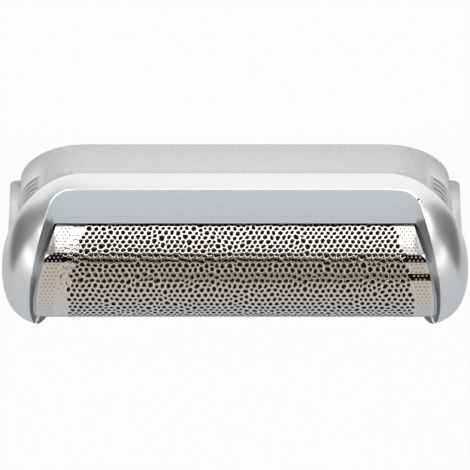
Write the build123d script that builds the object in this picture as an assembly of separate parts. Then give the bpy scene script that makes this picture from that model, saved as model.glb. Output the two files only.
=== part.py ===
"""Foil head of an electric shaver: a moulded frame that holds an arched, perforated foil on its carrier.

Millimetres. +Z points out of the shaver, X runs along the foil and Y across it, and -Y is the front.
The origin is at the middle of the open rim, on which the head stands."""
from build123d import *
import math
import os

# Foil: an upside-down U that is longer at its crest, because both ends lean out
foil_radius = 5.05
foil_axis_height = 12.0
foil_length = 44.8
foil_thickness = 0.1
end_lean = 15.0

# Perforation of the foil: six-sided holes in staggered columns
hole_width = 2.5
hole_web = 0.8
hole_margin = 2.4
hole_rise = 1.15

# Shoulder band round the head, with its crowned top, and the skirt below it
shoulder_depth = 22.0
shoulder_bottom = 4.7
shoulder_height = 2.35
shoulder_crown = 1.4
shoulder_plate = 1.35
skirt_step = 0.8
skirt_end_step = 0.5
skirt_corner = 8.2
skirt_wall = 1.3

# Ears at both ends of the foil: domes that lean out and bridge the skirt's short sides.
# The pulls are the shares and distances at which the curves of plan and section are drawn out.
ear_reach = 6.0
ear_foot_in = 1.8
ear_curve = 9.4
ear_corner_pull = 0.6
ear_tip_pull = 0.65
ear_crest = 17.3
ear_bulge = 1.5
ear_side_pull = 0.8
ear_roof_pull = 1.4
ear_roof_run = 6.0
ear_sections = 33
ear_underside = 10.5

# Window between the ears, and the slot for the foil
lip_gap = 0.5
lip_lean = 17.0
slot_gap = 0.75
slot_clearance = 0.3
window_corner = 2.8

# Grip pads on the short sides of the skirt
pad_proud = 1.3
pad_width = 5.0
pad_height = 11.0
pad_edge = 1.0

# Grip ribs round the skirt's corners and over the pads, up to the ears
rib_height = 0.2
rib_groove = 0.04
rib_pitch = 0.66
rib_count = 7
rib_bottom = 2.9
rib_start = 23.6

# Foil carrier inside the frame
carrier_inset = 1.6
carrier_proud = 0.1
carrier_lean = 18.0
rail_thickness = 1.1
rail_foot = 0.4
rail_height = 4.0
tab_thickness = 1.3
tab_reach = 1.55
tab_length = 1.6
tab_offset = 0.35

# Oblong pegs of the carrier, with flat heads, that hold the foil and its two strips
peg_count = 4
peg_pitch = 10.5
peg_length = 2.0
peg_height = 1.1
peg_clearance = 0.05
peg_head_margin = 0.4
peg_head_height = 0.35
strip_length = 38.4
strip_height = 2.8
strip_thickness = 0.9
strip_clearance = 0.3

# Catches inside the skirt: for the carrier's tabs and for the shaver
catch_reach = 0.6
catch_height = 0.8
latch_length = 6.0
latch_radius = 0.5
latch_level = 1.7

# How far cutters run past what they cut
overlap = 1.0

# Sizes that follow from those above
foil_inside = foil_radius - foil_thickness
foil_crest = foil_axis_height + foil_radius
shoulder_top = shoulder_bottom + shoulder_height
socket_height = shoulder_top - shoulder_plate
ear_span = foil_length + 2 * ear_reach
ear_foot_span = ear_span - 2 * ear_foot_in
skirt_length = ear_foot_span - 2 * skirt_end_step
skirt_depth = shoulder_depth - 2 * skirt_step
slot_half = foil_radius + slot_clearance
foil_bottom = socket_height - strip_clearance - strip_height
strip_outside = foil_radius + strip_thickness
rail_bottom = foil_bottom - rail_foot
rail_top = rail_bottom + rail_height
far_above = max(ear_crest, foil_crest) + overlap


def leaning_half(half_at_axis, lean, height):
    """Half length, at a height, of something whose ends lean out and is known at the foil's axis."""
    return half_at_axis + math.tan(math.radians(lean)) * (height - foil_axis_height)


def leaning_block(half_at_axis, lean, low, high, depth):
    """Block across Y whose two ends lean out."""
    low_half = leaning_half(half_at_axis, lean, low)
    high_half = leaning_half(half_at_axis, lean, high)
    outline = Polyline((-low_half, low), (low_half, low), (high_half, high), (-high_half, high), close=True)
    return extrude(Plane.XZ * make_face(outline), depth / 2, both=True)


def arch_block(radius, low):
    """Upside-down U along X, filled: straight sides from a low level up to the axis, half round above."""
    axis = foil_axis_height
    sides = Polyline((-radius, axis), (-radius, low), (radius, low), (radius, axis))
    crown = ThreePointArc((radius, axis), (0, axis + radius), (-radius, axis))
    return extrude(Plane.YZ * make_face(sides + crown), ear_span / 2, both=True)


def crown_block(rise, crest, low):
    """Block along X under a crown that spans the shoulder's depth, with a level margin on both sides."""
    half = shoulder_depth / 2
    edge = crest - rise
    far = half + overlap
    crown = ThreePointArc((-half, edge), (0, crest), (half, edge))
    sides = Polyline((half, edge), (far, edge), (far, low), (-far, low), (-far, edge), (-half, edge))
    return extrude(Plane.YZ * make_face(crown + sides), ear_span, both=True)


def ear_section(share):
    """Section of shoulder and ears along X, at a share of the way round an ear from front to rear."""
    half_depth = shoulder_depth / 2
    tip = ear_span / 2
    straight = tip - ear_curve
    corner = straight + ear_corner_pull * ear_curve
    plan = Bezier((straight, -half_depth), (corner, -half_depth), (tip, -ear_tip_pull * half_depth), (tip, 0))
    spot = plan @ (1 - abs(1 - 2 * share))
    across = spot.Y if share < 0.5 else -spot.Y
    out = (spot.X - straight) / ear_curve
    roof = shoulder_top + (ear_crest - shoulder_top) * math.sqrt(max(0, 1 - (across / half_depth) ** 2))
    base = shoulder_bottom - overlap
    profile = [
        (spot.X - ear_foot_in * out, base),
        (spot.X + ear_bulge * out, base + ear_side_pull * (roof - base)),
        (spot.X - ear_roof_pull, roof),
        (spot.X - ear_roof_run, roof),
    ]
    mirrored = [(-x, z) for x, z in profile]
    outline = [
        Bezier(*profile),
        Line(profile[3], mirrored[3]),
        Bezier(*reversed(mirrored)),
        Line(mirrored[0], profile[0]),
    ]
    return Plane((0, across, 0), x_dir=(1, 0, 0), z_dir=(0, -1, 0)) * make_face(outline)


def ear_form():
    """Outer form of shoulder and ears, before the window between the ears is cut."""
    form = loft([ear_section(index / (ear_sections - 1)) for index in range(ear_sections)], ruled=True)
    return split(form, Plane.XY.offset(shoulder_bottom), keep=Keep.TOP)


def window_form():
    """What is cut away between the ears, above the crowned shoulder: its lower corners are rounded."""
    half = foil_length / 2 + lip_gap
    low_half = leaning_half(half, lip_lean, shoulder_top)
    high_half = leaning_half(half, lip_lean, far_above)
    low_corners = [(-low_half, shoulder_top), (low_half, shoulder_top)]
    outline = make_face(Polyline(*low_corners, (high_half, far_above), (-high_half, far_above), close=True))
    outline = fillet(outline.vertices().sort_by(Axis.Y)[:2], window_corner)
    window = extrude(Plane.XZ * outline, shoulder_depth / 2 + overlap, both=True)
    return window - crown_block(shoulder_crown, shoulder_top + shoulder_crown, 0)


def foil_slot():
    """Slot through the shoulder and into the ears, for the foil and its carrier."""
    low = socket_height - overlap
    return leaning_block(foil_length / 2 + slot_gap, end_lean, low, far_above, 2 * slot_half)


def under_ears():
    """What is cut away round the skirt's short sides, below the arched undersides of the ears."""
    arch = crown_block(ear_underside - shoulder_bottom, ear_underside, shoulder_bottom - overlap)
    middle = Box(ear_span - 2 * ear_curve, 2 * shoulder_depth, 2 * far_above)
    return arch - middle - skirt_prism(0, far_above)


def skirt_prism(grow, height):
    """Prism on the skirt's plan, grown by a margin all round."""
    plan = RectangleRounded(skirt_length + 2 * grow, skirt_depth + 2 * grow, skirt_corner + grow)
    return extrude(plan, height)


def grip_pads():
    """Raised pads on the short sides, from the rim up into the ears."""
    pad = Box(skirt_length + 2 * pad_proud, pad_width, pad_height)
    return Pos(0, 0, pad_height / 2) * fillet(pad.edges().filter_by(Axis.Z), pad_edge)


def grip_ribs():
    """Sharp ridges round the skirt's short sides, one above the other."""
    length = skirt_length + 2 * rib_height
    depth = skirt_depth + 2 * rib_height
    plan = RectangleRounded(length, depth, skirt_corner + rib_height)
    slope = math.degrees(math.atan2(rib_height - rib_groove, rib_pitch / 2))
    half = extrude(plan, rib_pitch / 2, taper=slope)
    ridge = half + mirror(half, Plane.XY) - Box(2 * rib_start, shoulder_depth, ear_crest)
    return [Pos(0, 0, rib_bottom + (index + 0.5) * rib_pitch) * ridge for index in range(rib_count)]


def tab_middle():
    """Distance of the carrier's tabs from the middle, along X, just past the foil's end."""
    foil_end = leaning_half(foil_length / 2, end_lean, socket_height)
    return foil_end + tab_offset + tab_length / 2


def tab_catches():
    """Catches of the frame under the carrier's four tabs, each rooted in the middle of the skirt's wall."""
    near = slot_half + tab_reach - catch_reach
    far = skirt_depth / 2
    level = socket_height - tab_thickness - catch_height / 2
    inside_wall = skirt_prism(-skirt_wall / 2, socket_height)
    catches = []
    for side in (-1, 1):
        for end in (-1, 1):
            block = Box(tab_length, far - near, catch_height)
            catches.append(Pos(end * tab_middle(), side * (far + near) / 2, level) * block & inside_wall)
    return catches


def shaver_latches():
    """Half-round noses on the inside of the skirt's short sides that snap into the shaver."""
    inside = skirt_length / 2 - skirt_wall
    nose = Rot(90, 0, 0) * Cylinder(latch_radius, latch_length)
    return [Pos(end * inside, 0, latch_level) * nose for end in (-1, 1)]


def make_outer_frame():
    """One moulding: skirt, shoulder, ears, grip pads and catches."""
    frame = ear_form() - under_ears()
    frame += [skirt_prism(0, shoulder_top), grip_pads()] + grip_ribs()
    frame -= window_form()
    frame -= foil_slot()
    frame -= skirt_prism(-skirt_wall, socket_height)
    frame += tab_catches() + shaver_latches()
    return frame


def peg_places():
    """X of each peg along a rail."""
    return [(index - (peg_count - 1) / 2) * peg_pitch for index in range(peg_count)]


def peg_level():
    """Height of the pegs, at the middle of the strips."""
    return foil_bottom + strip_height / 2


def peg_row(grow, near, far):
    """Row of pegs on the front, grown by a margin, between two distances from the middle plane."""
    middle = -(near + far) / 2
    peg = Box(peg_length + 2 * grow, far - near, peg_height + 2 * grow)
    return [Pos(place, middle, peg_level()) * peg for place in peg_places()]


def peg_holes(near, far):
    """Cutters for the holes that the pegs go through, on the front."""
    return peg_row(peg_clearance, near - overlap, far + overlap)


def on_both_sides(pieces):
    """Pieces of the front and their mirror images at the rear."""
    return pieces + [mirror(piece, Plane.XZ) for piece in pieces]


def make_foil_carrier():
    """One moulding: two arched end walls, two rails with pegs, and four tabs."""
    half = foil_length / 2
    crest = foil_axis_height + foil_inside
    arch = arch_block(foil_inside, rail_bottom)
    ends = leaning_block(half, end_lean, rail_bottom, crest, shoulder_depth)
    heads = leaning_block(half + carrier_proud, carrier_lean, foil_axis_height, crest, shoulder_depth)
    bay_low = rail_bottom - overlap
    bay = leaning_block(half - carrier_inset, end_lean, bay_low, crest + overlap, shoulder_depth)
    end_walls = arch & (ends + heads - bay)
    channel = Box(ear_span, 2 * (foil_inside - rail_thickness), far_above)
    low_part = extrude(Rectangle(ear_span, shoulder_depth), rail_top)
    rails = (arch & ends & low_part) - channel
    carrier = end_walls + rails
    carrier += on_both_sides(peg_row(0, foil_inside - rail_thickness / 2, strip_outside))
    carrier += on_both_sides(peg_row(peg_head_margin, strip_outside, strip_outside + peg_head_height))
    tab = Box(tab_length, 2 * (slot_half + tab_reach), tab_thickness)
    tab_level = socket_height - tab_thickness / 2
    root_near = leaning_half(half - carrier_inset, end_lean, socket_height)
    root_far = tab_middle() + tab_length / 2
    root = Box(root_far - root_near, 2 * foil_inside, socket_height - rail_bottom)
    root_level = (socket_height + rail_bottom) / 2
    for end in (-1, 1):
        carrier += Pos(end * tab_middle(), 0, tab_level) * tab
        carrier += Pos(end * (root_near + root_far) / 2, 0, root_level) * root
    return carrier


def on_the_arch(along, run):
    """Plane on the foil's outside, at a distance from its crest measured round the arch."""
    quarter = foil_radius * math.pi / 2
    turn = max(-quarter, min(quarter, run)) / foil_radius
    drop = max(0, abs(run) - quarter)
    outward = (0, math.sin(turn), math.cos(turn))
    place = (along, foil_radius * math.sin(turn), foil_axis_height + foil_radius * math.cos(turn) - drop)
    return Plane(place, x_dir=(1, 0, 0), z_dir=outward)


def foil_holes():
    """Cutters for the six-sided holes, square to the arched sheet, two sides of each along X."""
    pitch = hole_width + hole_web
    column_pitch = pitch * math.sqrt(3) / 2
    corner = hole_width / math.sqrt(3)
    flank = foil_axis_height - shoulder_top - hole_rise
    field = foil_radius * math.pi / 2 + flank - hole_width / 2
    hexagon = extrude(RegularPolygon(corner, 6), foil_radius / 2, both=True)
    columns = math.ceil(foil_length / 2 / column_pitch)
    holes = []
    for column in range(-columns, columns + 1):
        stagger = column % 2 / 2
        rows = math.floor(field / pitch - stagger)
        for row in range(-rows - column % 2, rows + 1):
            seat = on_the_arch(column * column_pitch, (row + stagger) * pitch)
            reach = leaning_half(foil_length / 2, end_lean, seat.origin.Z) - hole_margin - corner
            if abs(seat.origin.X) <= reach:
                holes.append(seat * hexagon)
    return holes


def make_foil():
    """Thin perforated sheet bent to an arch, with a row of peg holes along each long edge."""
    arch = arch_block(foil_radius, foil_bottom) - arch_block(foil_inside, foil_bottom - overlap)
    sheet = arch & leaning_block(foil_length / 2, end_lean, foil_bottom, foil_crest, shoulder_depth)
    return sheet - foil_holes() - on_both_sides(peg_holes(foil_inside, foil_radius))


def make_foil_strip():
    """Front strip that presses the foil's long edge on the carrier's rail."""
    middle = -(foil_radius + strip_outside) / 2
    strip = Pos(0, middle, peg_level()) * Box(strip_length, strip_thickness, strip_height)
    return strip - peg_holes(foil_radius, strip_outside)


os.makedirs("parts", exist_ok=True)
front_strip = make_foil_strip()
nodes = {
    "outer_frame": make_outer_frame(),
    "foil_carrier": make_foil_carrier(),
    "foil": make_foil(),
    "foil_strip_front": front_strip,
    "foil_strip_rear": mirror(front_strip, Plane.XZ),
}
for name, shape in nodes.items():
    export_step(shape, f"parts/{name}.step")
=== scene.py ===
"""Looks of the shaver foil head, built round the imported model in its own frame, in metres."""
import math
import random

import bpy
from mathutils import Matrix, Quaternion, Vector
from mathutils.geometry import area_tri, delaunay_2d_cdt


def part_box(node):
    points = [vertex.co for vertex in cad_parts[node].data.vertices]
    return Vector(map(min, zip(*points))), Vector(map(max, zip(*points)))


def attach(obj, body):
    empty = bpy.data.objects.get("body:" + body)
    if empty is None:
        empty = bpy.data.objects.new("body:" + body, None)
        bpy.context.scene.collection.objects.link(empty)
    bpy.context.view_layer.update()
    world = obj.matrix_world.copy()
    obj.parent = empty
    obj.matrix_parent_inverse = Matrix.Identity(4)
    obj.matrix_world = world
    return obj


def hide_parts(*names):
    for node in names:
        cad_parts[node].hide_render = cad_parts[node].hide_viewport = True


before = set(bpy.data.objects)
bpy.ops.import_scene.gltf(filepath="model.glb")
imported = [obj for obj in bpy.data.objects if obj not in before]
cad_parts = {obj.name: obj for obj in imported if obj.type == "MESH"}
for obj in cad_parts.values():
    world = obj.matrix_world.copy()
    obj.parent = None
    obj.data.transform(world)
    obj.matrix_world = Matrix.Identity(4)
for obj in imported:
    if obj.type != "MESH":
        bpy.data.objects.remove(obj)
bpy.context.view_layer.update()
MM = 0.001

# Photograph's view: the head is seen from above its foil, with the picture turned upside down
VIEW_ELEVATION = math.radians(33)
VIEW_DISTANCE = 380 * MM
VIEW_TARGET = Vector((0, 0, 6.3 * MM))
VIEW_LENS = 240
VIEW_SENSOR = 36

# Foil, read from its solid, in millimetres: a half-round arch on two straight flanks
foil_low, foil_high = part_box("foil")
FOIL_RADIUS = foil_high.y / MM
FOIL_AXIS = foil_high.z / MM - FOIL_RADIUS
FOIL_BOTTOM = foil_low.z / MM
FOIL_SHEET = 0.1
CREST_HALF = foil_high.x / MM
FOOT_BAND = 0.01
foot_top = foil_low.z + FOOT_BAND * MM
FOOT_HALF = max(v.co.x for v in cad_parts["foil"].data.vertices if v.co.z < foot_top) / MM
QUARTER = FOIL_RADIUS * math.pi / 2
RUN_LIMIT = QUARTER + FOIL_AXIS - FOIL_BOTTOM

# Perforation of the foil, in millimetres. The share, the cut and the unevenness are parts of a cell or pitch.
# The lean is a slope. Triangles under the sliver's area lie flat along the sheet's straight ends
LAYOUT_SEED = 11
CELL_PITCH = 0.72
HOLE_SHARE = 0.63
STRUT_FALL = 0.02
STRUT_LEAN = 0.4
PITCH_UNEVENNESS = 0.32
CORNER_CUT = 0.1
FIELD_LOW = 7.2
FIELD_MARGIN_LEFT = 2.4
FIELD_MARGIN_RIGHT = 3.6
BLIND_ZONE = 1.3
BLIND_DEPTH = 0.02
SLIVER_AREA = 0.001
SAME_POINT = 1e-6

# Black felt laid inside the arch as a backdrop, painted shade for the head's inside, in millimetres
LINING_HALF = 21.8
LINING_SINK = 0.35
LINING_RUN = QUARTER + 4.6
LINING_STEPS = 24

# Dots etched into the foil's ends, in millimetres
DOT_PITCH = 0.5
DOT_ROW = 0.45
DOT_RADIUS = 0.13
DOT_ZONE = (0.35, 2.1)

# Nickel: patches of its polish and of its dull inside, in millimetres, and how rough it is
SMEAR_SIZE = 1.667
PATCH_SIZE = 2.0
POLISH = (0.05, 0.08)
ETCHED_ROUGHNESS = 0.65

# Frame's levels, in millimetres: the skirt ends under an arch that rises over its short sides. Its skin is
# the depth that counts as its outside. The black ground ends as far within its outline as the cover says
SHOULDER_BOTTOM = 4.7
SHOULDER_HALF = 11.0
ARCH_TOP = 10.5
ARCH_RADIUS = (SHOULDER_HALF ** 2 + (ARCH_TOP - SHOULDER_BOTTOM) ** 2) / (2 * (ARCH_TOP - SHOULDER_BOTTOM))
SKIRT_HALF = (26.1, 10.2)
SKIRT_CORNER = 8.2
SKIRT_SKIN = 0.5
# The black ground under the head is painted shade
SKIRT_COVER = 0.6
FAR_UP = 1000
EDGE_ROUND = 0.08
CORNER_ROUND = 0.5
CORNER_ALONG = (18.5, 20.5)
CORNER_UP = (7.6, 8.8)

# Joining of the frame's facets: digits of a millimetre that make two corners one, and a sharp edge's angle
JOIN_DIGITS = 4
SHARP_FROM = math.radians(30)

# Polish of the grip ribs and pads, and a painted highlight in the lighter colour they take, in millimetres:
# where it sets in, along the head and up it
GRIP_ALONG = (22.6, 23.8)
GRIP_UP = (0.6, 3.2)
GRIP_DULLNESS_AND_SHEEN = 0.25

# Silver paint, first where it is smooth and then on the dull skirt. Sizes are in millimetres.
# Real flakes and mould grain are finer. These are as coarse as they need to be to show
PAINT_ROUGHNESS = (0.33, 0.55)
PAINT_METAL = (0.85, 0.25)
FLAKE_SPREAD = (0.03, 0.1)
FLAKE_SIZE = 0.2
GRAIN_STRENGTH = (0.02, 0.9)
GRAIN_SIZE = 0.26
GRAIN_HEIGHT = 0.11
NOISE_RANGE = (0.3, 0.7)

# Grain of the grey and black mouldings, in millimetres
MOULD_GRAIN = 0.3
MOULD_HEIGHT = 0.03

# Floor: its size, and where its shine in mirrors fades out behind the head, in millimetres, and the share of
# its look that shines white. The rest keeps the head's shadow
FLOOR_SIZE = 3000
FLOOR_FADE = (14, -4)
FLOOR_GLOW = 0.95

# Studio walls: where front turns to rear, as Y of the way to a wall, and their light
WALL_FADE = (-0.5, 0.5)
WALL_LIGHT = 0.61

# Cards: name, felt, middle, facing and size. Middles and sizes are in millimetres
HIGH_TILT = math.radians(39.5)
HIGH_REACH = 250
HIGH_ASIDE = -90
HIGH_LIFT = 10
HIGH_MIDDLE = (HIGH_ASIDE, -HIGH_REACH * math.cos(HIGH_TILT), HIGH_REACH * math.sin(HIGH_TILT) + HIGH_LIFT)
HIGH_FACING = (0, math.cos(HIGH_TILT), -math.sin(HIGH_TILT))
CARDS = (
    ("low_card", "black_card", (0, -29, 6.5), (-0.17, 1, 0), (200, 13)),
    ("high_card", "black_card", HIGH_MIDDLE, HIGH_FACING, (224, 84)),
    ("side_card", "grey_card", (-36.5, -22, 8), (1, 0, 0), (42, 16)),
    ("side_card", "grey_card", (37.5, -22, 8), (-1, 0, 0), (42, 16)),
    ("rear_card", "grey_card", (0, 40, 0.2), (0, 0, 1), (60, 36)))

# Lamps: name, place, aim and size in millimetres, and watts. The last one lights the silver frame only
LAMPS = (
    ("strip_lamp", (-142, -62, 100), (-24.4, -7, 14), (16, 110), 0.0155),
    ("strip_lamp", (142, -62, 100), (24.4, -7, 14), (16, 110), 0.019),
    ("low_lamp", (0, -24.5, 12), (0, 0, 8), (72, 12), 0.0074))

# Nick in the paint and a fleck beside it, in millimetres
NICK = (-21.68, -10.47, 8.1)
NICK_RADIUS = 0.18
FLECK = (-22.04, -10.34, 8.3)
FLECK_RADIUS = 0.1
SPOT_CORE = 0.7


def colour(code):
    """Linear colour of an sRGB hex code."""
    channels = [int(code[i:i + 2], 16) / 255 for i in (1, 3, 5)]
    return [c / 12.92 if c <= 0.04045 else ((c + 0.055) / 1.055) ** 2.4 for c in channels] + [1.0]


def node(tree, kind, inputs=None, **settings):
    """Adds a shader node with its settings. An input is a value, or an output to link."""
    made = tree.nodes.new(kind)
    for name, value in settings.items():
        setattr(made, name, value)
    for key, value in (inputs or {}).items():
        if isinstance(value, bpy.types.NodeSocket):
            tree.links.new(value, made.inputs[key])
        else:
            made.inputs[key].default_value = value
    return made


def new_material(name):
    """Empty material with its output node."""
    material = bpy.data.materials.new(name)
    material.use_nodes = True
    tree = material.node_tree
    tree.nodes.clear()
    return material, tree, node(tree, "ShaderNodeOutputMaterial")


def out_from_skirt(tree, place):
    """Distance of a place from the lines that the skirt's rounded corners are drawn round."""
    level = node(tree, "ShaderNodeVectorMath", {0: place}, operation="ABSOLUTE").outputs[0]
    straight = [(half - SKIRT_CORNER) * MM for half in SKIRT_HALF] + [FAR_UP * MM]
    past = node(tree, "ShaderNodeVectorMath", {0: level, 1: straight}, operation="SUBTRACT").outputs[0]
    corner = node(tree, "ShaderNodeVectorMath", {0: past, 1: (0, 0, 0)}, operation="MAXIMUM").outputs[0]
    return node(tree, "ShaderNodeVectorMath", {0: corner}, operation="LENGTH").outputs["Value"]


def skirt_mask(tree, place):
    """1 on the outside of the skirt, which ends under the arch of the ears, and 0 on the rest."""
    rise = (0, 0, (ARCH_RADIUS - ARCH_TOP) * MM)
    from_axis = node(tree, "ShaderNodeVectorMath", {0: place, 1: (0, 1, 1), 2: rise},
                     operation="MULTIPLY_ADD").outputs[0]
    radius = node(tree, "ShaderNodeVectorMath", {0: from_axis}, operation="LENGTH").outputs["Value"]
    below = node(tree, "ShaderNodeMath", {0: radius, 1: ARCH_RADIUS * MM}, operation="LESS_THAN").outputs[0]
    outside = node(tree, "ShaderNodeMath", {0: out_from_skirt(tree, place),
                                            1: (SKIRT_CORNER - SKIRT_SKIN) * MM},
                   operation="GREATER_THAN").outputs[0]
    return node(tree, "ShaderNodeMath", {0: below, 1: outside}, operation="MULTIPLY").outputs[0]


def silver_painted_abs():
    """ABS moulding in satin silver paint: metal flakes in a clear coat give a broad, soft shine.
    The skirt below the ears keeps the grain of its spark-eroded mould, so it looks dull and mottled.
    The ribs and pads on its short sides are polished, and painted lighter as a highlight. A nick and a fleck
    mark the paint."""
    material, tree, output = new_material("silver_painted_abs")
    place = node(tree, "ShaderNodeTexCoord").outputs["Object"]
    axes = node(tree, "ShaderNodeSeparateXYZ", {0: place}).outputs
    end = node(tree, "ShaderNodeMath", {0: axes["X"]}, operation="ABSOLUTE").outputs[0]
    skirt = skirt_mask(tree, place)
    grip = 1.0
    for way, (bare, full) in ((end, GRIP_ALONG), (axes["Z"], GRIP_UP)):
        fade = node(tree, "ShaderNodeMapRange", {0: way, 1: bare * MM, 2: full * MM}).outputs[0]
        grip = node(tree, "ShaderNodeMath", {0: fade, 1: grip}, operation="MULTIPLY").outputs[0]
    # On the grip the skirt's darker, duller paint gives way to the light one: polish, and a painted highlight
    off_grip = node(tree, "ShaderNodeMapRange", {0: grip, 3: 1.0, 4: GRIP_DULLNESS_AND_SHEEN}).outputs[0]
    dull = node(tree, "ShaderNodeMath", {0: skirt, 1: off_grip}, operation="MULTIPLY").outputs[0]
    paint = node(tree, "ShaderNodeMix", {0: dull, 6: colour("#EFF0F2"), 7: colour("#C3C5C8")},
                 data_type="RGBA").outputs[2]
    flakes = node(tree, "ShaderNodeTexNoise", {"Vector": place, "Scale": 1 / (FLAKE_SIZE * MM),
                                               "Detail": 2.0})
    spread = node(tree, "ShaderNodeMapRange", {0: dull, 3: FLAKE_SPREAD[0], 4: FLAKE_SPREAD[1]}).outputs[0]
    fall = node(tree, "ShaderNodeMath", {0: 1.0, 1: spread}, operation="SUBTRACT").outputs[0]
    rise = node(tree, "ShaderNodeMath", {0: 1.0, 1: spread}, operation="ADD").outputs[0]
    lift = node(tree, "ShaderNodeMapRange", {0: flakes.outputs[0], 1: NOISE_RANGE[0], 2: NOISE_RANGE[1],
                                             3: fall, 4: rise})
    shade = node(tree, "ShaderNodeHueSaturation", {"Color": paint, "Value": lift.outputs[0]}).outputs[0]
    for spot, reach, tone in ((NICK, NICK_RADIUS, "#26282A"), (FLECK, FLECK_RADIUS, "#8C9094")):
        middle = [c * MM for c in spot]
        away = node(tree, "ShaderNodeVectorMath", {0: place, 1: middle},
                    operation="DISTANCE").outputs["Value"]
        hit = node(tree, "ShaderNodeMapRange", {0: away, 1: reach * MM, 2: SPOT_CORE * reach * MM,
                                                3: 0.0, 4: 1.0})
        shade = node(tree, "ShaderNodeMix", {0: hit.outputs[0], 6: shade, 7: colour(tone)},
                     data_type="RGBA").outputs[2]
    rough = node(tree, "ShaderNodeMapRange", {0: dull, 3: PAINT_ROUGHNESS[0], 4: PAINT_ROUGHNESS[1]})
    metal = node(tree, "ShaderNodeMapRange", {0: dull, 3: PAINT_METAL[0], 4: PAINT_METAL[1]})
    edge = EDGE_ROUND * MM
    corner = node(tree, "ShaderNodeMapRange", {0: axes["Z"], 1: CORNER_UP[0] * MM, 2: CORNER_UP[1] * MM,
                                               3: CORNER_ROUND * MM, 4: edge})
    rounding = node(tree, "ShaderNodeMapRange", {0: end, 1: CORNER_ALONG[0] * MM, 2: CORNER_ALONG[1] * MM,
                                                 3: edge, 4: corner.outputs[0]})
    radius = node(tree, "ShaderNodeMix", {0: skirt, 2: rounding.outputs[0], 3: edge}).outputs[0]
    soft_edge = node(tree, "ShaderNodeBevel", {"Radius": radius}, samples=8)
    grain = node(tree, "ShaderNodeTexNoise", {"Vector": place, "Scale": 1 / (GRAIN_SIZE * MM), "Detail": 3.0})
    depth = node(tree, "ShaderNodeMapRange", {0: dull, 3: GRAIN_STRENGTH[0], 4: GRAIN_STRENGTH[1]})
    bump = node(tree, "ShaderNodeBump", {"Strength": depth.outputs[0], "Distance": GRAIN_HEIGHT * MM,
                                         "Height": grain.outputs[0], "Normal": soft_edge.outputs[0]})
    surface = node(tree, "ShaderNodeBsdfPrincipled", {
        "Base Color": shade, "Metallic": metal.outputs[0], "Roughness": rough.outputs[0],
        "Normal": bump.outputs[0], "Coat Weight": 0.15, "Coat Roughness": 0.25})
    tree.links.new(surface.outputs[0], output.inputs[0])
    return material


def bright_nickel():
    """Electroformed nickel: a warm mirror. The dots etched into its ends are dull, and scatter light."""
    material, tree, output = new_material("bright_nickel")
    flat = node(tree, "ShaderNodeUVMap", uv_map="unrolled").outputs[0]
    nearest = DOT_PITCH
    for shift in (0.0, 0.5):
        cell = node(tree, "ShaderNodeVectorMath", {0: flat, 1: (1 / DOT_PITCH, 0.5 / DOT_ROW, 0),
                                                   2: (shift, shift, 0)}, operation="MULTIPLY_ADD")
        part = node(tree, "ShaderNodeVectorMath", {0: cell.outputs[0]}, operation="FRACTION")
        offset = node(tree, "ShaderNodeVectorMath", {0: part.outputs[0], 1: (DOT_PITCH, 2 * DOT_ROW, 0),
                                                     2: (-DOT_PITCH / 2, -DOT_ROW, 0)},
                      operation="MULTIPLY_ADD")
        away = node(tree, "ShaderNodeVectorMath", {0: offset.outputs[0]},
                    operation="LENGTH").outputs["Value"]
        nearest = node(tree, "ShaderNodeMath", {0: away, 1: nearest}, operation="MINIMUM").outputs[0]
    dot = node(tree, "ShaderNodeMath", {0: nearest, 1: DOT_RADIUS}, operation="LESS_THAN").outputs[0]
    inset = node(tree, "ShaderNodeAttribute", attribute_name="from_end").outputs["Fac"]
    half_zone = (DOT_ZONE[1] - DOT_ZONE[0]) / 2
    in_zone = node(tree, "ShaderNodeMath", {0: inset, 1: DOT_ZONE[0] + half_zone, 2: half_zone},
                   operation="COMPARE")
    etched = node(tree, "ShaderNodeMath", {0: in_zone.outputs[0], 1: dot}, operation="MULTIPLY").outputs[0]
    smear = node(tree, "ShaderNodeTexNoise", {"Vector": flat, "Scale": 1 / SMEAR_SIZE, "Detail": 3.0})
    polish = node(tree, "ShaderNodeMapRange", {0: smear.outputs[0], 1: NOISE_RANGE[0], 2: NOISE_RANGE[1],
                                               3: POLISH[0], 4: POLISH[1]})
    rough = node(tree, "ShaderNodeMix", {0: etched, 2: polish.outputs[0], 3: ETCHED_ROUGHNESS})
    tone = node(tree, "ShaderNodeMix", {0: etched, 6: colour("#EEE8E2"), 7: colour("#CFC7BD")},
                data_type="RGBA")
    surface = node(tree, "ShaderNodeBsdfPrincipled", {
        "Base Color": tone.outputs[2], "Metallic": 1.0, "Roughness": rough.outputs[0]})
    tree.links.new(surface.outputs[0], output.inputs[0])
    return material


def dull_nickel_painted_shade():
    """Inside of the foil and its holes' walls, dull from the mandrel, and dark brown as painted shade."""
    material, tree, output = new_material("dull_nickel_painted_shade")
    place = node(tree, "ShaderNodeTexCoord").outputs["Object"]
    patches = node(tree, "ShaderNodeTexNoise", {"Vector": place, "Scale": 1 / (PATCH_SIZE * MM),
                                                "Detail": 2.0})
    # Dark brown tones: painted shade, since the inside lies in the head's shade
    tone = node(tree, "ShaderNodeMix", {0: patches.outputs[0], 6: colour("#4A423C"), 7: colour("#5C544C")},
                data_type="RGBA")
    surface = node(tree, "ShaderNodeBsdfPrincipled", {
        "Base Color": tone.outputs[2], "Metallic": 1.0, "Roughness": 0.4})
    tree.links.new(surface.outputs[0], output.inputs[0])
    return material


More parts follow.
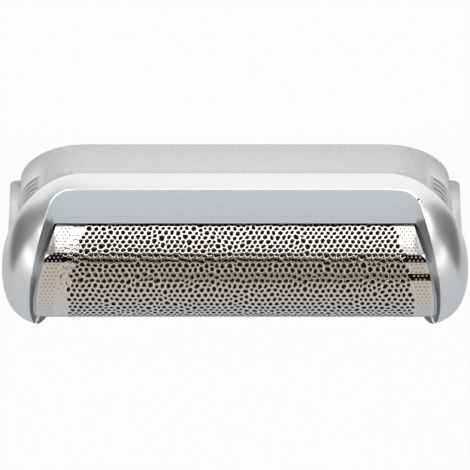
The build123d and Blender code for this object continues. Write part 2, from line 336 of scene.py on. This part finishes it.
def grey_abs(name, light, dark, roughness):
    """Moulded ABS, coloured through, with a faint grain from its mould."""
    material, tree, output = new_material(name)
    place = node(tree, "ShaderNodeTexCoord").outputs["Object"]
    grain = node(tree, "ShaderNodeTexNoise", {"Vector": place, "Scale": 1 / (MOULD_GRAIN * MM),
                                              "Detail": 3.0})
    tone = node(tree, "ShaderNodeMix", {0: grain.outputs[0], 6: colour(dark), 7: colour(light)},
                data_type="RGBA")
    bump = node(tree, "ShaderNodeBump", {"Strength": 0.1, "Distance": MOULD_HEIGHT * MM,
                                         "Height": grain.outputs[0]})
    surface = node(tree, "ShaderNodeBsdfPrincipled", {
        "Base Color": tone.outputs[2], "Roughness": roughness, "Normal": bump.outputs[0]})
    tree.links.new(surface.outputs[0], output.inputs[0])
    return material


def dyed_felt(name, code):
    """Felt of one colour. Its fibres scatter light, so it has no shine."""
    material, tree, output = new_material(name)
    fibres = node(tree, "ShaderNodeBsdfDiffuse", {"Color": colour(code)})
    tree.links.new(fibres.outputs[0], output.inputs[0])
    return material


def height_at(run):
    """Height of the sheet at a distance from its crest, measured round the arch."""
    if abs(run) <= QUARTER:
        return FOIL_AXIS + FOIL_RADIUS * math.cos(run / FOIL_RADIUS)
    return FOIL_AXIS - abs(run) + QUARTER


def half_at(run):
    """Half length of the sheet at a distance from its crest: its ends lean out."""
    share = (height_at(run) - FOIL_BOTTOM) / (FOIL_AXIS + FOIL_RADIUS - FOIL_BOTTOM)
    return FOOT_HALF + share * (CREST_HALF - FOOT_HALF)


def bend(along, run, sink):
    """Place on the bent sheet, in metres, of a point of the flat one, sunk below its outside."""
    turn = max(-QUARTER, min(QUARTER, run)) / FOIL_RADIUS
    radius = FOIL_RADIUS - sink
    drop = max(0.0, abs(run) - QUARTER)
    return (along * MM, radius * math.sin(turn) * MM, (FOIL_AXIS + radius * math.cos(turn) - drop) * MM)


def outward(run, lean):
    """Direction out of the bent sheet at a distance from its crest, leaning along it and round it."""
    turn = max(-QUARTER, min(QUARTER, run)) / FOIL_RADIUS
    out = Vector((0, math.sin(turn), math.cos(turn)))
    ahead = Vector((0, math.cos(turn), -math.sin(turn)))
    return (out + Vector((lean.x, 0, 0)) + ahead * lean.y).normalized()


def cell_middles():
    """Middles of the cells on the flat sheet: an uneven triangular lattice, and points on its outline."""
    dice = random.Random(LAYOUT_SEED)
    row_pitch = CELL_PITCH * math.sqrt(3) / 2
    rows = math.floor((RUN_LIMIT - CELL_PITCH / 2) / row_pitch)
    columns = math.ceil(CREST_HALF / CELL_PITCH)
    points = []
    for row in range(-rows, rows + 1):
        for column in range(-columns, columns + 1):
            along = (column + row % 2 / 2 + dice.uniform(-1, 1) * PITCH_UNEVENNESS) * CELL_PITCH
            run = row * row_pitch + dice.uniform(-1, 1) * PITCH_UNEVENNESS * CELL_PITCH
            inside = abs(run) < RUN_LIMIT - CELL_PITCH / 2
            if inside and abs(along) < half_at(run) - CELL_PITCH / 2:
                points.append((along, run))
    steps = round(2 * RUN_LIMIT / CELL_PITCH)
    for step in range(steps + 1):
        run = -RUN_LIMIT + 2 * RUN_LIMIT * step / steps
        points += [(half_at(run), run), (-half_at(run), run)]
    foot_steps = round(2 * FOOT_HALF / CELL_PITCH)
    for step in range(1, foot_steps):
        along = -FOOT_HALF + 2 * FOOT_HALF * step / foot_steps
        points += [(along, RUN_LIMIT), (along, -RUN_LIMIT)]
    return points


def cells_round(points):
    """Cells round their middles, as rings of corners. A corner is the centre of three middles."""
    whole_hull = 0
    found = delaunay_2d_cdt([Vector(p) for p in points], [], [], whole_hull, SAME_POINT)
    middles = found[0]
    corners, around, sides = [], {}, {}
    for triangle in found[2]:
        if area_tri(*(middles[p] for p in triangle)) < SLIVER_AREA:
            continue
        for a, b in zip(triangle, triangle[1:] + triangle[:1]):
            around.setdefault(a, []).append(len(corners))
            side = (min(a, b), max(a, b))
            sides[side] = sides.get(side, 0) + 1
        corners.append(sum((middles[p] for p in triangle), Vector((0, 0))) / len(triangle))
    for (a, b), owners in sides.items():
        if owners == 1:
            around[a].append(len(corners))
            around[b].append(len(corners))
            corners.append((middles[a] + middles[b]) / 2)
    on_outline = {p for side, owners in sides.items() if owners == 1 for p in side}
    for point in sorted(on_outline):
        around[point].append(len(corners))
        corners.append(middles[point])
    cells = []
    for ring in around.values():
        heart = sum((corners[c] for c in ring), Vector((0, 0))) / len(ring)
        cells.append(sorted(ring, key=lambda c: math.atan2(*(corners[c] - heart).yx)))
    return [tuple(c) for c in corners], cells


def rim_of(ring, flat):
    """Rim of the hole in a cell: the cell's outline drawn in towards its middle, with its corners cut."""
    corners = [Vector(flat[p]) for p in ring]
    middle = sum(corners, Vector((0, 0))) / len(corners)
    inner = [middle.lerp(corner, HOLE_SHARE) for corner in corners]
    rim = []
    for index, here in enumerate(inner):
        before, after = inner[index - 1], inner[(index + 1) % len(inner)]
        rim += [here.lerp(before, CORNER_CUT), here.lerp(after, CORNER_CUT)]
    return [tuple(p) for p in rim]


def kind_of(ring, flat):
    """Whether a cell is open, etched blind, or left whole."""
    along = sum(flat[p][0] for p in ring) / len(ring)
    run = sum(flat[p][1] for p in ring) / len(ring)
    if height_at(run) < FIELD_LOW:
        return "whole"
    margin = FIELD_MARGIN_RIGHT if along > 0 else FIELD_MARGIN_LEFT
    room = half_at(run) - margin - abs(along)
    if room > 0:
        return "open"
    return "blind" if along > 0 and room > -BLIND_ZONE else "whole"


def make_foil():
    """Bent nickel sheet, with an inside and an outside, perforated between its struts."""
    flat, cells = cells_round(cell_middles())
    spread = flat + flat
    sinks = [0.0] * len(flat) + [FOIL_SHEET] * len(flat)
    leans = [Vector((0, 0))] * len(spread)
    under = len(flat)
    faces, finishes, sides = [], [], []

    def add_face(corners, finish, side):
        """Face with its finish, and its side of the sheet: 1 outside, -1 inside, 0 a wall of a hole."""
        faces.append(tuple(corners) if side >= 0 else tuple(reversed(corners)))
        finishes.append(finish)
        sides.append(side)

    def ring_faces(ring, first, count, base, finish, side):
        """Struts between a cell's sides and its hole's rim."""
        for index in range(count):
            here, there = ring[index] + base, ring[(index + 1) % count] + base
            rim_a, rim_b = first + 2 * index + 1, first + (2 * index + 2) % (2 * count)
            add_face((here, there, rim_b, rim_a), finish, side)
            add_face((here, rim_a, rim_a - 1), finish, side)

    for ring in cells:
        kind = kind_of(ring, flat)
        count = len(ring)
        if kind == "whole":
            heart = len(spread)
            spread.append(tuple(sum((Vector(flat[p]) for p in ring), Vector((0, 0))) / count))
            sinks.append(0.0)
            leans.append(Vector((0, 0)))
            for here, there in zip(ring, ring[1:] + ring[:1]):
                add_face((here, there, heart), 0, 1)
        else:
            top = len(spread)
            rim = rim_of(ring, flat)
            spread += rim + rim
            depth = BLIND_DEPTH if kind == "blind" else FOIL_SHEET - STRUT_FALL
            sinks += [STRUT_FALL] * len(rim) + [depth + STRUT_FALL] * len(rim)
            middle = sum((Vector(p) for p in rim), Vector((0, 0))) / len(rim)
            leans += [(middle - Vector(p)).normalized() * STRUT_LEAN for p in rim]
            leans += [Vector((0, 0))] * len(rim)
            ring_faces(ring, top, count, 0, 0, 1)
            low = top + len(rim)
            for index in range(len(rim)):
                after = (index + 1) % len(rim)
                wall = (top + index, top + after, low + after, low + index)
                add_face(wall, 0 if kind == "blind" else 1, 0)
            if kind == "blind":
                add_face([low + index for index in range(len(rim))], 0, 1)
        if kind == "open":
            ring_faces(ring, low, count, under, 1, -1)
        else:
            add_face([p + under for p in ring], 1, -1)
    outline = {(a, b) for ring in cells for a, b in zip(ring, ring[1:] + ring[:1])}
    for a, b in sorted(outline):
        if (b, a) not in outline:
            add_face((a, a + under, b + under, b), 0, 0)
    mesh = bpy.data.meshes.new("perforated_foil")
    mesh.from_pydata([bend(*p, sink) for p, sink in zip(spread, sinks)], [], faces)
    mesh.polygons.foreach_set("material_index", finishes)
    unrolled = mesh.uv_layers.new(name="unrolled")
    for loop in mesh.loops:
        unrolled.data[loop.index].uv = spread[loop.vertex_index]
    inset = mesh.attributes.new("from_end", "FLOAT", "POINT")
    inset.data.foreach_set("value", [half_at(run) - abs(along) for along, run in spread])
    mesh.shade_smooth()
    normals = []
    for face, side in zip(mesh.polygons, sides):
        for vertex in face.vertices:
            facing = outward(spread[vertex][1], leans[vertex]) * side
            normals.append(facing if side else face.normal.copy())
    mesh.normals_split_custom_set(normals)
    mesh.materials.append(bright_nickel())
    mesh.materials.append(dull_nickel_painted_shade())
    foil = bpy.data.objects.new("perforated_foil", mesh)
    bpy.context.scene.collection.objects.link(foil)
    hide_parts("foil")
    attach(foil, "root")
    return foil


def make_frame():
    """Silver moulding with the form of its solid, its facets joined and shaded as one."""
    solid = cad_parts["outer_frame"].data
    merged, places, order = {}, [], []
    for vertex in solid.vertices:
        key = tuple(round(c / MM, JOIN_DIGITS) for c in vertex.co)
        if key not in merged:
            merged[key] = len(places)
            places.append(tuple(vertex.co))
        order.append(merged[key])
    faces = [tuple(order[v] for v in face.vertices) for face in solid.polygons]
    mesh = bpy.data.meshes.new("silver_frame")
    mesh.from_pydata(places, [], [face for face in faces if len(set(face)) == 3])
    mesh.materials.append(silver_painted_abs())
    mesh.shade_smooth()
    mesh.set_sharp_from_angle(angle=SHARP_FROM)
    moulding = bpy.data.objects.new("silver_frame", mesh)
    bpy.context.scene.collection.objects.link(moulding)
    weighted = moulding.modifiers.new("weighted", "WEIGHTED_NORMAL")
    weighted.keep_sharp = True
    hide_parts("outer_frame")
    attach(moulding, "root")


def dress(name, material):
    """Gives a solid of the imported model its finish."""
    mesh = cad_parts[name].data
    mesh.materials.clear()
    mesh.materials.append(material)


def make_card(name, material, middle, facing, size):
    """Flat card of the studio, with its middle and size in millimetres."""
    mesh = bpy.data.meshes.new(name)
    x, y = (side / 2 * MM for side in size)
    mesh.from_pydata([(-x, -y, 0), (x, -y, 0), (x, y, 0), (-x, y, 0)], [], [(0, 1, 2, 3)])
    mesh.materials.append(material)
    card = bpy.data.objects.new(name, mesh)
    card.location = Vector(middle) * MM
    card.rotation_mode = "QUATERNION"
    card.rotation_quaternion = Vector(facing).to_track_quat("Z", "Y")
    bpy.context.scene.collection.objects.link(card)
    return card


def make_lining():
    """Sheet of black felt laid inside the arch as a backdrop: painted shade, so that the holes look dark."""
    places = []
    for step in range(LINING_STEPS + 1):
        run = (2 * step / LINING_STEPS - 1) * LINING_RUN
        places += [bend(-LINING_HALF, run, LINING_SINK), bend(LINING_HALF, run, LINING_SINK)]
    faces = [(2 * step, 2 * step + 1, 2 * step + 3, 2 * step + 2) for step in range(LINING_STEPS)]
    mesh = bpy.data.meshes.new("shade_lining")
    mesh.from_pydata(places, [], faces)
    mesh.materials.append(dyed_felt("black_shade_felt", "#3A302A"))
    lining = bpy.data.objects.new("shade_lining", mesh)
    bpy.context.scene.collection.objects.link(lining)
    return lining


def white_floor():
    """White table. The eye sees it shine white, with the head's shadow, and so do mirrors in front of
    the head. The ground that the skirt covers is black, painted shade, so that no light comes up from it."""
    material, tree, output = new_material("white_table")
    place = node(tree, "ShaderNodeNewGeometry").outputs["Position"]
    open_ground = node(tree, "ShaderNodeMath", {0: out_from_skirt(tree, place),
                                                1: (SKIRT_CORNER - SKIRT_COVER) * MM},
                       operation="GREATER_THAN").outputs[0]
    # Black ground under the skirt: painted shade inside the closed head
    cover = node(tree, "ShaderNodeMix", {0: open_ground, 6: colour("#0C0B0A"), 7: colour("#F4F4F4")},
                 data_type="RGBA").outputs[2]
    matte = node(tree, "ShaderNodeBsdfDiffuse", {"Color": cover})
    glow = node(tree, "ShaderNodeEmission", {"Color": colour("#FFFFFF"), "Strength": 1.0})
    path = node(tree, "ShaderNodeLightPath").outputs
    depth = node(tree, "ShaderNodeSeparateXYZ", {0: place}).outputs["Y"]
    front = node(tree, "ShaderNodeMapRange", {0: depth, 1: FLOOR_FADE[0] * MM, 2: FLOOR_FADE[1] * MM,
                                              3: 0.0, 4: 1.0}).outputs[0]
    mirrored = node(tree, "ShaderNodeMath", {0: path["Is Glossy Ray"], 1: path["Is Transmission Ray"]},
                    operation="MAXIMUM").outputs[0]
    in_front = node(tree, "ShaderNodeMath", {0: mirrored, 1: front}, operation="MULTIPLY").outputs[0]
    seen = node(tree, "ShaderNodeMath", {0: path["Is Camera Ray"], 1: in_front},
                operation="MAXIMUM").outputs[0]
    shining = node(tree, "ShaderNodeMath", {0: seen, 1: open_ground}, operation="MULTIPLY").outputs[0]
    share = node(tree, "ShaderNodeMath", {0: shining, 1: FLOOR_GLOW}, operation="MULTIPLY").outputs[0]
    both = node(tree, "ShaderNodeMixShader", {0: share, 1: matte.outputs[0], 2: glow.outputs[0]})
    tree.links.new(both.outputs[0], output.inputs[0])
    make_card("floor", material, (0, 0, 0), (0, 0, 1), (FLOOR_SIZE, FLOOR_SIZE))


def dark_cards():
    """Black cards round the head draw the dark bands along the foil, and grey ones the ears' dark sides.
    Only mirrors see them."""
    felts = {"black_card": dyed_felt("black_card", "#141210"),
             "grey_card": dyed_felt("grey_card", "#403E3C")}
    for name, felt, middle, facing, size in CARDS:
        card = make_card(name, felts[felt], middle, facing, size)
        card.visible_camera = False
        card.visible_shadow = False
        card.visible_diffuse = False


def studio_world():
    """Even studio walls, warm in front of the head and cool behind it."""
    world = bpy.data.worlds.new("studio")
    world.use_nodes = True
    tree = world.node_tree
    tree.nodes.clear()
    way = node(tree, "ShaderNodeTexCoord").outputs["Generated"]
    depth = node(tree, "ShaderNodeSeparateXYZ", {0: way}).outputs["Y"]
    rear = node(tree, "ShaderNodeMapRange", {0: depth, 1: WALL_FADE[0], 2: WALL_FADE[1],
                                             3: 0.0, 4: 1.0}).outputs[0]
    tint = node(tree, "ShaderNodeMix", {0: rear, 6: colour("#F8F3EA"), 7: colour("#F3F8FD")},
                data_type="RGBA")
    walls = node(tree, "ShaderNodeBackground", {"Color": tint.outputs[2], "Strength": WALL_LIGHT})
    output = node(tree, "ShaderNodeOutputWorld")
    tree.links.new(walls.outputs[0], output.inputs[0])
    bpy.context.scene.world = world


def make_light(name, place, aim, size, watts):
    """Soft rectangular lamp that points at a place. Places and sizes are in millimetres."""
    lamp = bpy.data.lights.new(name, "AREA")
    lamp.shape = "RECTANGLE"
    lamp.size, lamp.size_y = (side * MM for side in size)
    lamp.energy = watts
    light = bpy.data.objects.new(name, lamp)
    light.location = Vector(place) * MM
    light.rotation_mode = "QUATERNION"
    light.rotation_quaternion = (Vector(aim) - Vector(place)).to_track_quat("-Z", "Y")
    bpy.context.scene.collection.objects.link(light)
    return light


def make_camera():
    """Camera at the photograph's angle, rolled by half a turn."""
    back = Vector((0, -math.cos(VIEW_ELEVATION), math.sin(VIEW_ELEVATION)))
    lens = bpy.data.cameras.new("camera")
    lens.lens = VIEW_LENS
    lens.sensor_width = VIEW_SENSOR
    camera = bpy.data.objects.new("camera", lens)
    camera.location = VIEW_TARGET + back * VIEW_DISTANCE
    camera.rotation_mode = "QUATERNION"
    camera.rotation_quaternion = (-back).to_track_quat("-Z", "Y") @ Quaternion((0, 0, 1), math.pi)
    bpy.context.scene.collection.objects.link(camera)
    bpy.context.scene.camera = camera


make_frame()
dress("foil_carrier", grey_abs("blue_grey_abs", "#BCC4CC", "#B0B8C0", 0.4))
strip_finish = grey_abs("black_abs", "#2E2E30", "#262628", 0.5)
dress("foil_strip_front", strip_finish)
dress("foil_strip_rear", strip_finish)
# The satin paint beside these pieces shows no image of them
for beside in (make_foil(), make_lining(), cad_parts["foil_carrier"]):
    beside.visible_glossy = False
white_floor()
dark_cards()
studio_world()
lamps = [make_light(*row) for row in LAMPS]
low_lamp = lamps[-1]
low_lamp.visible_camera = False
only_frame = bpy.data.collections.new("only_frame")
only_frame.objects.link(bpy.data.objects["silver_frame"])
low_lamp.light_linking.receiver_collection = only_frame
make_camera()

bpy.context.scene.view_settings.view_transform = "Standard"
